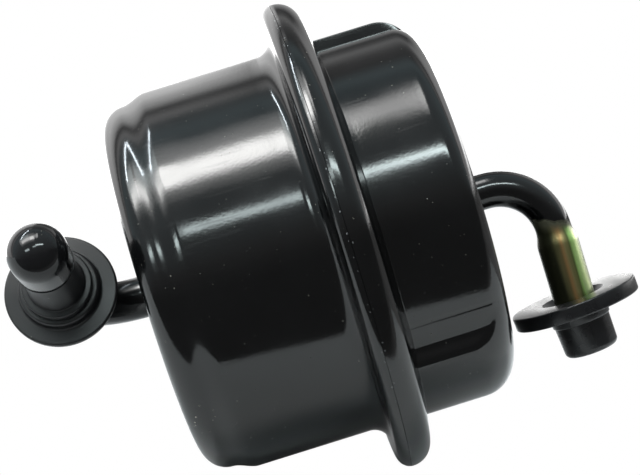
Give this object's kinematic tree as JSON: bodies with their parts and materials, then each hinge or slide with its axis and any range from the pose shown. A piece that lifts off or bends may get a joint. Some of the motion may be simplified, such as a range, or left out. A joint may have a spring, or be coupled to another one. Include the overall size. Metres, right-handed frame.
{
  "type": "fuel filter",
  "caption": "In-line fuel filter: flanged two-piece black steel can, bent inlet and outlet pipes, plastic caps on both pipes, pleated element inside.",
  "frame": {"origin": "on the can's axis, in the plane of the body flange's flat face", "axes": "+X along the can's axis from the inlet end to the outlet end, +Z opposite to the outlet pipe's free leg, -Y the side that the inlet pipe's free leg points to"},
  "size_m": [0.1387, 0.1109, 0.1109],
  "materials": {
    "can_paint": "gloss black enamel",
    "lid_paint": "gloss black enamel",
    "gasket_rubber": "dull black",
    "pipe_paint": "gloss black enamel",
    "plated_pipe": "gloss black enamel, with its end left in yellow zinc plating",
    "inlet_braze": "braze metal under black enamel",
    "outlet_braze": "braze metal under black enamel",
    "inlet_cap_plastic": "gloss black",
    "outlet_cap_plastic": "satin black",
    "filter_paper": "resin-treated pleated paper",
    "clip_steel": "bare",
    "core_steel": "tinned",
    "inlet_resin": "cured resin",
    "outlet_resin": "cured resin",
    "outlet_plate_steel": "tinned",
    "inlet_plate_steel": "tinned",
    "grommet_rubber": "dull black",
    "seat_steel": "bare",
    "spring_steel": "bare",
    "baffle_steel": "bare"
  },
  "bodies": {
    "can": {"body_shell": "can_paint", "lid_shell": "lid_paint", "seam_gasket": "gasket_rubber", "inlet_pipe": "pipe_paint", "outlet_pipe": "plated_pipe", "inlet_braze_ring": "inlet_braze", "outlet_braze_ring": "outlet_braze", "filter_media": "filter_paper", "media_seam_clip": "clip_steel", "core_tube": "core_steel", "inlet_potting": "inlet_resin", "outlet_potting": "outlet_resin", "outlet_end_plate": "outlet_plate_steel", "inlet_end_plate": "inlet_plate_steel", "outlet_grommet": "grommet_rubber", "spring_seat": "seat_steel", "preload_spring": "spring_steel", "inlet_baffle": "baffle_steel"},
    "inlet_cap": {"inlet_cap": "inlet_cap_plastic"},
    "outlet_cap": {"outlet_cap": "outlet_cap_plastic"}
  },
  "joints": [
    {"name": "inlet_cap_pull", "type": "slide", "parent": "can", "child": "inlet_cap", "axis": [0.0349, -0.9336, 0.3565], "range_m": [0, 0.03]},
    {"name": "outlet_cap_pull", "type": "slide", "parent": "can", "child": "outlet_cap", "axis": [0, 0, -1], "range_m": [0, 0.025]}
  ]
}
